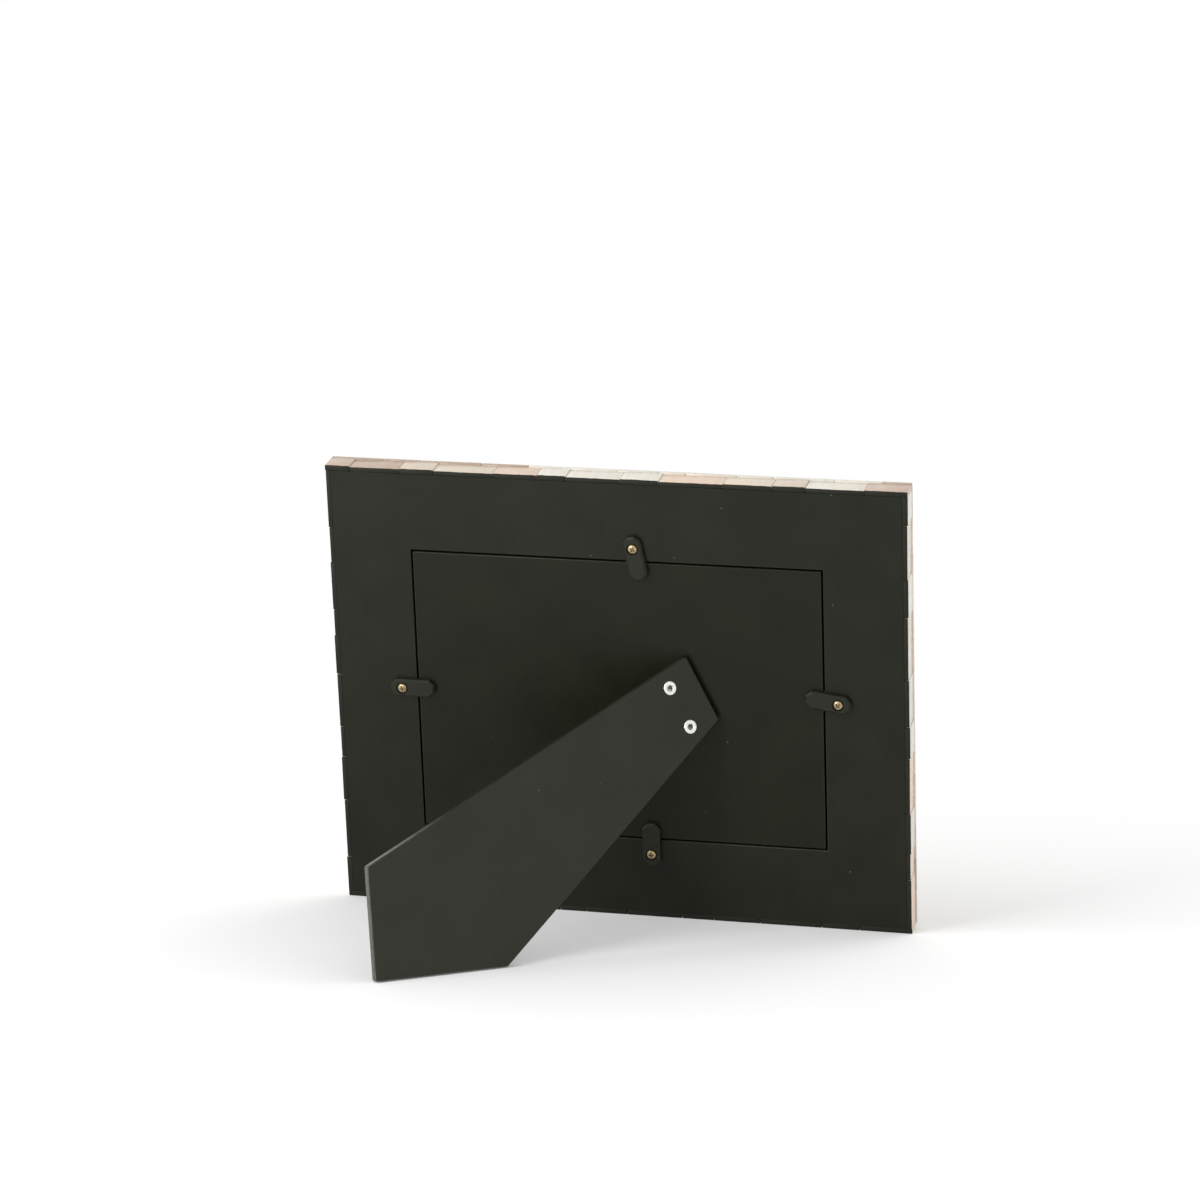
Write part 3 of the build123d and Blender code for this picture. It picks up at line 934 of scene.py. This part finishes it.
@placing_tree(
    "Clenched Eyelets", floats("Bore", "Barrel", "Flange", "Flange Height", "Clench", "Depth")
)
def eyelet_tree(tree, source):
    """Eyelets on points: a rolled flange, a barrel and a clenched lip, round one bore."""

    def circle(facets, radius):
        inputs = {"Resolution": facets, "Radius": radius}
        return result(tree, "GeometryNodeCurvePrimitiveCircle", inputs)

    def ring(inner, outer, half_height, level, section):
        """A ring from one radius to another, with an oval or a square section."""
        middle = sum_of(tree, "MULTIPLY", sum_of(tree, "ADD", inner, outer), 0.5)
        half_width = sum_of(tree, "SUBTRACT", outer, middle)
        path = {"Curve": circle(EYELET_FACETS, middle)}
        upright = result(tree, "GeometryNodeSetCurveNormal", path, mode="Z_UP")
        profile = moved(tree, section, Scale=vector(tree, half_width, half_height, 1.0))
        inputs = {"Curve": upright, "Profile Curve": profile}
        band = result(tree, "GeometryNodeCurveToMesh", inputs)
        return moved(tree, band, Translation=vector(tree, z=level))

    oval = circle(LIP_FACETS, 1.0)
    square = result(tree, "GeometryNodeCurvePrimitiveQuadrilateral", {0: 2.0, 1: 2.0})
    half_depth = sum_of(tree, "MULTIPLY", source["Depth"], 0.5)
    halfway = sum_of(tree, "MULTIPLY", half_depth, -1.0)
    under = sum_of(tree, "MULTIPLY", source["Depth"], -1.0)
    clench_height = sum_of(tree, "MULTIPLY", source["Flange Height"], CLENCH_SHARE)
    wall = sum_of(tree, "ADD", source["Bore"], BARREL_STEP)
    rings = (
        ring(source["Bore"], source["Flange"], source["Flange Height"], 0.0, oval),
        ring(wall, source["Barrel"], half_depth, halfway, square),
        ring(source["Bore"], source["Clench"], clench_height, under, oval),
    )
    return made_real(tree, source, on_points(tree, source, combined(tree, "UNION", rings)))


# Pieces

class FRAME_OT_paint_boards(Operator):
    """Paint the front board, the rear board and the back panel"""

    bl_idname = "photo_frame.paint_boards"
    bl_label = "Paint Boards"

    def execute(self, context):
        paint = context.scene.photo_frame_paint
        board_paint = painted_wood("board_paint", paint.board, paint.board_gloss, paint, BACK)
        panel_paint = painted_wood("panel_paint", paint.panel, paint.board_gloss, paint, BACK)
        repaint("front_board", board_paint)
        outline = np.abs(seen_from(BACK, corners("rear_board"))).max(0)

        def is_inner(edge):
            """Long edges that no tile covers."""
            place = np.abs(seen_from(BACK, np.array([middle_of(edge)[:]]))[0])
            return edge.calc_length() > LONG_EDGE and (place < outline - TILED_EDGE)[:2].all()

        # The boards' inner edges are painted a little paler, as rubbing and painted highlight
        for node, finish in (("rear_board", board_paint), ("back_panel", panel_paint)):
            piece = eased_copy(
                f"painted_{node}", node, finish, paint.easing, is_inner, paint.board_wear
            )
            settle(piece, "frame", "black_board", node)
        return {"FINISHED"}


def mixed_tones(count, seed, shares):
    """A fixed mixture of tones, in the given shares."""
    chance = np.random.default_rng(seed)
    return chance.choice(len(TONES), count, p=shares).astype(float)


def edge_tones(side, places, seed):
    """Tones of the edge tiles: chosen on the upper edge, which shows most, and mixed elsewhere."""
    if side == "top":
        return [float(TONES.index(tone)) for tone in TOP_EDGE]
    return mixed_tones(len(places), seed, EDGE_SHARES)


def front_tones(side, places, seed):
    """Mixed tones of the front tiles, but for two outer rows that show from behind.

    The upper one is brown at its ends and pale between them, and the right one has no brown.
    """
    tones = mixed_tones(len(places), seed, FRONT_SHARES)
    across, up = places[:, 0], places[:, 1]
    if side == "top":
        outer = up > up.max() - OUTER_ROW
        brown = (across < BROWN_ENDS[0]) | (across > BROWN_ENDS[1])
        tones[outer & brown] = TONES.index("tan")
        tones[outer & ~brown] = TONES.index("pearl")
    elif side == "right":
        outer = across > across.max() - OUTER_ROW
        tones[outer & (tones > TONES.index("peach"))] = TONES.index("cream")
    return tones


def lay_tiles(tiles, kind, side, outward, tones, seed, finish, loose=True):
    """Lay the tiles of one side as one piece. Loose ones are lifted and skewed by chance."""
    node = f"{kind}_tiles_{side}"
    solids = np.array(solids_of(node, BACK))
    places = solids.mean(1)
    count = len(places)
    points = point_mesh(
        node, [BACK @ Vector(place) for place in places], extent=solids[:, 1] - solids[:, 0],
        turn=[BACK.to_euler()[:]] * count, tone=tones(side, places, seed),
        outward=[outward[:]] * count,
    )
    piece = grow(
        f"shell_{kind}_{side}", points, tile_tree(), tiles.easing, lift=loose * tiles.lift,
        skew=loose * tiles.skew, seed=seed, material=finish,
    )
    settle(piece, "frame", "pale_tile", node)


class FRAME_OT_lay_edge_tiles(Operator):
    """Lay the tiles round the four edges, with the paint of the back on their ends"""

    bl_idname = "photo_frame.lay_edge_tiles"
    bl_label = "Lay Edge Tiles"

    def execute(self, context):
        tiles = context.scene.photo_frame_tiles
        finish = shell_tile("edge_shell", tiles, context.scene.photo_frame_paint, True)
        across, upward = BACK.to_3x3().col[0], BACK.to_3x3().col[1]
        directions = (upward, -upward, -across, across)
        for order, (side, outward) in enumerate(zip(SIDES, directions)):
            seed, loose = tiles.seed + order, side != "bottom"
            lay_tiles(tiles, "edge", side, outward, edge_tones, seed, finish, loose)
        return {"FINISHED"}


class FRAME_OT_lay_front_tiles(Operator):
    """Lay the rows of tiles on the front"""

    bl_idname = "photo_frame.lay_front_tiles"
    bl_label = "Lay Front Tiles"

    def execute(self, context):
        tiles = context.scene.photo_frame_tiles
        finish = shell_tile("front_shell", tiles, context.scene.photo_frame_paint, False)
        outward = -BACK.to_3x3().col[2]
        for order, side in enumerate(SIDES, len(SIDES)):
            lay_tiles(tiles, "front", side, outward, front_tones, tiles.seed + order, finish)
        return {"FINISHED"}


def ring_prism(name, outer, inner, low, high):
    """A flat rectangular ring in the back's axes: outer and inner half sizes, and two levels."""
    shape = bmesh.new()
    loops = []
    for half_width, half_height in (outer, inner):
        for level in (low, high):
            loops.append([
                shape.verts.new(BACK @ Vector((x * half_width, y * half_height, level)))
                for x, y in ((-1, -1), (1, -1), (1, 1), (-1, 1))
            ])
    outer_low, outer_high, inner_low, inner_high = loops
    for first, second in ((outer_low, outer_high), (outer_high, inner_high),
                          (inner_high, inner_low), (inner_low, outer_low)):
        for i in range(4):
            j = (i + 1) % 4
            shape.faces.new((first[i], first[j], second[j], second[i]))
    bmesh.ops.recalc_face_normals(shape, faces=shape.faces)
    return kept_mesh(shape, name)


class FRAME_OT_fill_joints(Operator):
    """Fill the joints between the tiles, round the edge and on the front"""

    bl_idname = "photo_frame.fill_joints"
    bl_label = "Fill Joints"

    def execute(self, context):
        tiles = context.scene.photo_frame_tiles
        grout = filler("grout", tiles, context.scene.photo_frame_paint)
        board = seen_from(BACK, corners("front_board"))
        sight = np.abs(board).min(0)
        board_low, board_high = board.min(0), board.max(0)
        front = seen_from(BACK, corners("front_tiles_top"))
        outer = front.max(0) - tiles.edge_grout
        rings = {
            "edge_grout": (board_high[:2], board_low[2], -tiles.edge_grout),
            "front_grout": (sight[:2], front[:, 2].min() + tiles.front_grout, board_low[2]),
        }
        for name, (inner, low, high) in rings.items():
            ring = ring_prism(name, outer[:2], inner, low, high)
            settle(new_piece(name, ring, grout), "frame", "pale_tile")
        return {"FINISHED"}


class FRAME_OT_fit_glass(Operator):
    """Fit the glass and the blank sheet behind it"""

    bl_idname = "photo_frame.fit_glass"
    bl_label = "Fit Glass"

    def execute(self, context):
        studio = context.scene.photo_frame_studio
        repaint("glass_pane", clear_glass("clear_glass", studio))
        frame["nodes"]["glass_pane"].visible_shadow = False  # lamps reach the sheet behind it
        paper = blank_paper("blank_paper", studio)
        sheet = thinned_copy("blank_sheet", "picture_sheet", paper, studio.air)
        settle(sheet, "frame", "blank_paper", "picture_sheet")
        return {"FINISHED"}


class FRAME_OT_fit_buttons(Operator):
    """Fit the four turn buttons"""

    bl_idname = "photo_frame.fit_buttons"
    bl_label = "Fit Turn Buttons"

    def execute(self, context):
        scene = context.scene
        plastic = moulded_plastic("moulded_plastic", scene.photo_frame_fittings,
                                  scene.photo_frame_paint)
        for side in SIDES:
            repaint(f"turn_button_{side}", plastic)
        return {"FINISHED"}


class FRAME_OT_drive_screws(Operator):
    """Drive the brass screws of the turn buttons"""

    bl_idname = "photo_frame.drive_screws"
    bl_label = "Drive Screws"

    def execute(self, context):
        fittings = context.scene.photo_frame_fittings
        solids = solids_of("turn_button_screws", BACK)
        low, high = solids[0]
        brass = metal("brass", fittings.brass, fittings.tarnish, BACK, fittings.brass_dullness,
                      clean_above=high[2] - fittings.slot_depth / 2)
        seat = high[2] - 2 * fittings.screw_rim
        points = seat_points(
            "screws", solids, BACK, seat, fittings.screw_turn, fittings.screw_step
        )
        piece = grow(
            "brass_screws", points, screw_tree(), radius=fittings.screw_radius,
            rim=fittings.screw_rim, dome=fittings.screw_rim, shank_radius=fittings.screw_shank,
            shank_length=seat - low[2], slot_length=fittings.slot_length,
            slot_width=fittings.slot_width, slot_depth=fittings.slot_depth, material=brass,
        )
        settle(piece, "frame", "brass", "turn_button_screws")
        return {"FINISHED"}


class FRAME_OT_fit_leg(Operator):
    """Fit the painted easel leg, its edges rubbed and painted paler towards the foot as painted
    light
    """

    bl_idname = "photo_frame.fit_leg"
    bl_label = "Fit Easel Leg"

    def execute(self, context):
        paint = context.scene.photo_frame_paint
        # The leg's paint is set lighter than the boards' as painted light
        finish = painted_wood(
            "leg_paint", paint.leg, paint.leg_gloss, paint, LEG,
            worn_and_lit_end=(paint.wear_start / MM, paint.wear_full / MM),
        )
        holes = [LEG @ Vector((low + high) / 2) for low, high in solids_of("leg_eyelets", LEG)]
        outward = LEG.to_3x3().col[2]

        def is_flat(face):
            """The leg's two broad faces."""
            return abs(face.normal.dot(outward)) > LOOKS_ALONG

        def is_outline(edge):
            """Edges of the broad faces, but for those round the eyelets."""
            clear = all((middle_of(edge) - hole).length > EYELET_EDGE for hole in holes)
            return clear and any(is_flat(face) for face in edge.link_faces)

        # The leg's sides and rounded edges are painted paler, as rubbing and painted highlight
        leg = eased_copy(
            "painted_easel_leg", "easel_leg", finish, paint.easing, is_outline, paint.leg_wear,
            lambda face: 0.0 if is_flat(face) else paint.leg_wear,
        )
        settle(leg, "leg", "black_board", "easel_leg")
        return {"FINISHED"}


class FRAME_OT_set_eyelets(Operator):
    """Set the bright eyelets in the leg"""

    bl_idname = "photo_frame.set_eyelets"
    bl_label = "Set Eyelets"

    def execute(self, context):
        fittings = context.scene.photo_frame_fittings
        nickel = metal("nickel", fittings.nickel, fittings.steel, LEG, fittings.nickel_dullness)
        solids = solids_of("leg_eyelets", LEG)
        low, high = solids[0]
        face = seen_from(LEG, corners("easel_leg"))[:, 2].max()
        piece = grow(
            "bright_eyelets", seat_points("eyelets", solids, LEG, face), eyelet_tree(),
            bore=fittings.eyelet_bore, barrel=fittings.eyelet_barrel,
            flange=(high[0] - low[0]) / 2, flange_height=high[2] - face,
            clench=fittings.eyelet_clench, depth=face - low[2], material=nickel,
        )
        settle(piece, "leg", "bright_eyelet", "leg_eyelets")
        return {"FINISHED"}


class FRAME_OT_fit_hinge(Operator):
    """Finish the two hinge leaves and the pin"""

    bl_idname = "photo_frame.fit_hinge"
    bl_label = "Fit Hinge"

    def execute(self, context):
        fittings = context.scene.photo_frame_fittings
        steel = metal("plated_steel", fittings.steel, fittings.dull_steel, LEG,
                      fittings.hinge_dullness)
        for node in ("hinge_leaf_panel", "hinge_leaf_leg", "hinge_pin"):
            repaint(node, steel)
        return {"FINISHED"}


class FRAME_OT_set_rivets(Operator):
    """Set the rivets that hold the hinge to the panel"""

    bl_idname = "photo_frame.set_rivets"
    bl_label = "Set Rivets"

    def execute(self, context):
        fittings = context.scene.photo_frame_fittings
        steel = metal("rivet_steel", fittings.steel, fittings.dull_steel, BACK,
                      fittings.rivet_dullness)
        solids = solids_of("panel_rivets", BACK)
        low, high = solids[0]
        seat = high[2] - 2 * fittings.rivet_rim
        piece = grow(
            "hinge_rivets", seat_points("rivets", solids, BACK, seat), rivet_tree(),
            radius=fittings.rivet_radius, rim=fittings.rivet_rim, dome=fittings.rivet_rim,
            shank_radius=fittings.rivet_shank, shank_length=seat - low[2], material=steel,
        )
        settle(piece, "frame", "plated_steel", "panel_rivets")
        return {"FINISHED"}


# Studio

WHITE = (1, 1, 1, 1)
FLOOR_REACH = 25.0
FILM_WIDTH = 36.0  # millimetres
KEY_WAY = (-1.0, -0.7, -1.0)  # the way that the key shines
FILL_WAY = (0.9, 0.75, -0.8)
BOX_PLACE = (0.36, 0.64, 0.06)  # the light box from the point that the camera aims at


def new_lamp(name, kind, strength, direction):
    """A lamp that shines along a direction."""
    data = bpy.data.lights.new(name, kind)
    data.energy = strength
    lamp = bpy.data.objects.new(name, data)
    lamp.rotation_mode = "QUATERNION"
    lamp.rotation_quaternion = Vector(direction).to_track_quat("-Z", "Y")
    bpy.context.scene.collection.objects.link(lamp)
    return lamp


def shows_background(tree):
    """1 for rays that show the background: to the camera, off gloss and through glass."""
    rays = put(tree, "ShaderNodeLightPath").outputs
    seen = sum_of(tree, "MAXIMUM", rays["Is Camera Ray"], rays["Is Glossy Ray"])
    return sum_of(tree, "MAXIMUM", seen, rays["Is Transmission Ray"])


class FRAME_OT_set_stage(Operator):
    """Lay the floor, set the lights and place the camera"""

    bl_idname = "photo_frame.set_stage"
    bl_label = "Set Stage"

    def execute(self, context):
        scene = context.scene
        studio = scene.photo_frame_studio
        scene.view_settings.view_transform = "Standard"
        self.lay_floor(studio)
        self.light(scene, studio)
        self.place_camera(scene, studio)
        return {"FINISHED"}

    def lay_floor(self, studio):
        """A wide pale floor at the level that the frame stands on."""
        half = FLOOR_REACH
        mesh = bpy.data.meshes.new("floor")
        mesh.from_pydata(
            [(-half, -half, 0), (half, -half, 0), (half, half, 0), (-half, half, 0)], [],
            [(0, 1, 2, 3)],
        )
        material, tree, shader = new_material("floor", Specular_IOR_Level=0.0, Roughness=1.0,
                                              Emission_Color=WHITE)
        place = put(tree, "ShaderNodeTexCoord").outputs["Object"]
        grain = noise(tree, place, scale=40.0, detail=2.0)
        tint = mix(tree, remap(tree, grain, 0.3, 0.7, 0.0, 0.02), rgba(studio.floor), WHITE)
        dress(tree, shader, tint)
        glow = sum_of(tree, "MULTIPLY", shows_background(tree), studio.glow)
        tree.links.new(glow, shader.inputs["Emission Strength"])
        new_piece("floor", mesh, material)

    def light(self, scene, studio):
        """Even light from all round, a key and a light box at the back, and a fill in front."""
        world = bpy.data.worlds.new("studio")
        world.use_nodes = True
        background = world.node_tree.nodes["Background"]
        background.inputs["Color"].default_value = WHITE
        seen = shows_background(world.node_tree)
        level = sum_of(world.node_tree, "MAXIMUM", seen, studio.sky)
        world.node_tree.links.new(level, background.inputs["Strength"])
        scene.world = world
        new_lamp("key", "SUN", studio.key, KEY_WAY).data.angle = studio.key_spread
        new_lamp("fill", "SUN", studio.fill, FILL_WAY).data.angle = studio.fill_spread
        aside = Vector(BOX_PLACE)
        lamp = new_lamp("box", "AREA", studio.box, -aside)
        lamp.location = Vector(studio.aim) + aside
        lamp.data.size = studio.box_size
        lamp.visible_camera = False

    def place_camera(self, scene, studio):
        """The camera, at the distance and angle of the photograph."""
        data = bpy.data.cameras.new("camera")
        data.lens = studio.lens
        data.sensor_width = FILM_WIDTH
        camera = bpy.data.objects.new("camera", data)
        scene.collection.objects.link(camera)
        tilt = Matrix.Rotation(-studio.elevation, 3, "X")
        away = Matrix.Rotation(studio.azimuth, 3, "Z") @ tilt @ Vector((0, -1, 0))
        camera.location = Vector(studio.aim) + away * studio.distance
        camera.rotation_mode = "QUATERNION"
        level = (-away).to_track_quat("-Z", "Y")
        camera.rotation_quaternion = level @ Quaternion((0, 0, 1), studio.roll)
        scene.camera = camera


class FRAME_PT_panel(Panel):
    """Buttons for each step and the settings that they use"""

    bl_idname = "FRAME_PT_panel"
    bl_label = "Photo Frame"
    bl_space_type = "VIEW_3D"
    bl_region_type = "UI"
    bl_category = "Photo Frame"

    def draw(self, context):
        for step in STEPS:
            self.layout.operator(step.bl_idname)
        for name, group in SETTINGS.items():
            box = self.layout.box()
            box.label(text=group.__doc__)
            for label in group.__annotations__:
                box.prop(getattr(context.scene, name), label)


STEPS = (
    FRAME_OT_paint_boards,
    FRAME_OT_lay_edge_tiles,
    FRAME_OT_lay_front_tiles,
    FRAME_OT_fill_joints,
    FRAME_OT_fit_glass,
    FRAME_OT_fit_buttons,
    FRAME_OT_drive_screws,
    FRAME_OT_fit_leg,
    FRAME_OT_set_eyelets,
    FRAME_OT_fit_hinge,
    FRAME_OT_set_rivets,
    FRAME_OT_set_stage,
)
SETTINGS = {
    "photo_frame_paint": PaintSettings,
    "photo_frame_tiles": TileSettings,
    "photo_frame_fittings": FittingSettings,
    "photo_frame_studio": StudioSettings,
}


def register():
    """Make the settings, steps and panel known to Blender."""
    for name, group in SETTINGS.items():
        bpy.utils.register_class(group)
        setattr(bpy.types.Scene, name, PointerProperty(type=group))
    for step in STEPS:
        bpy.utils.register_class(step)
    bpy.utils.register_class(FRAME_PT_panel)


def unregister():
    """Take back what register made known."""
    bpy.utils.unregister_class(FRAME_PT_panel)
    for step in reversed(STEPS):
        bpy.utils.unregister_class(step)
    for name, group in reversed(SETTINGS.items()):
        delattr(bpy.types.Scene, name)
        bpy.utils.unregister_class(group)


def main():
    register()
    bpy.ops.photo_frame.paint_boards()
    bpy.ops.photo_frame.lay_edge_tiles()
    bpy.ops.photo_frame.lay_front_tiles()
    bpy.ops.photo_frame.fill_joints()
    bpy.ops.photo_frame.fit_glass()
    bpy.ops.photo_frame.fit_buttons()
    bpy.ops.photo_frame.drive_screws()
    bpy.ops.photo_frame.fit_leg()
    bpy.ops.photo_frame.set_eyelets()
    bpy.ops.photo_frame.fit_hinge()
    bpy.ops.photo_frame.set_rivets()
    bpy.ops.photo_frame.set_stage()


if __name__ == "__main__":
    main()
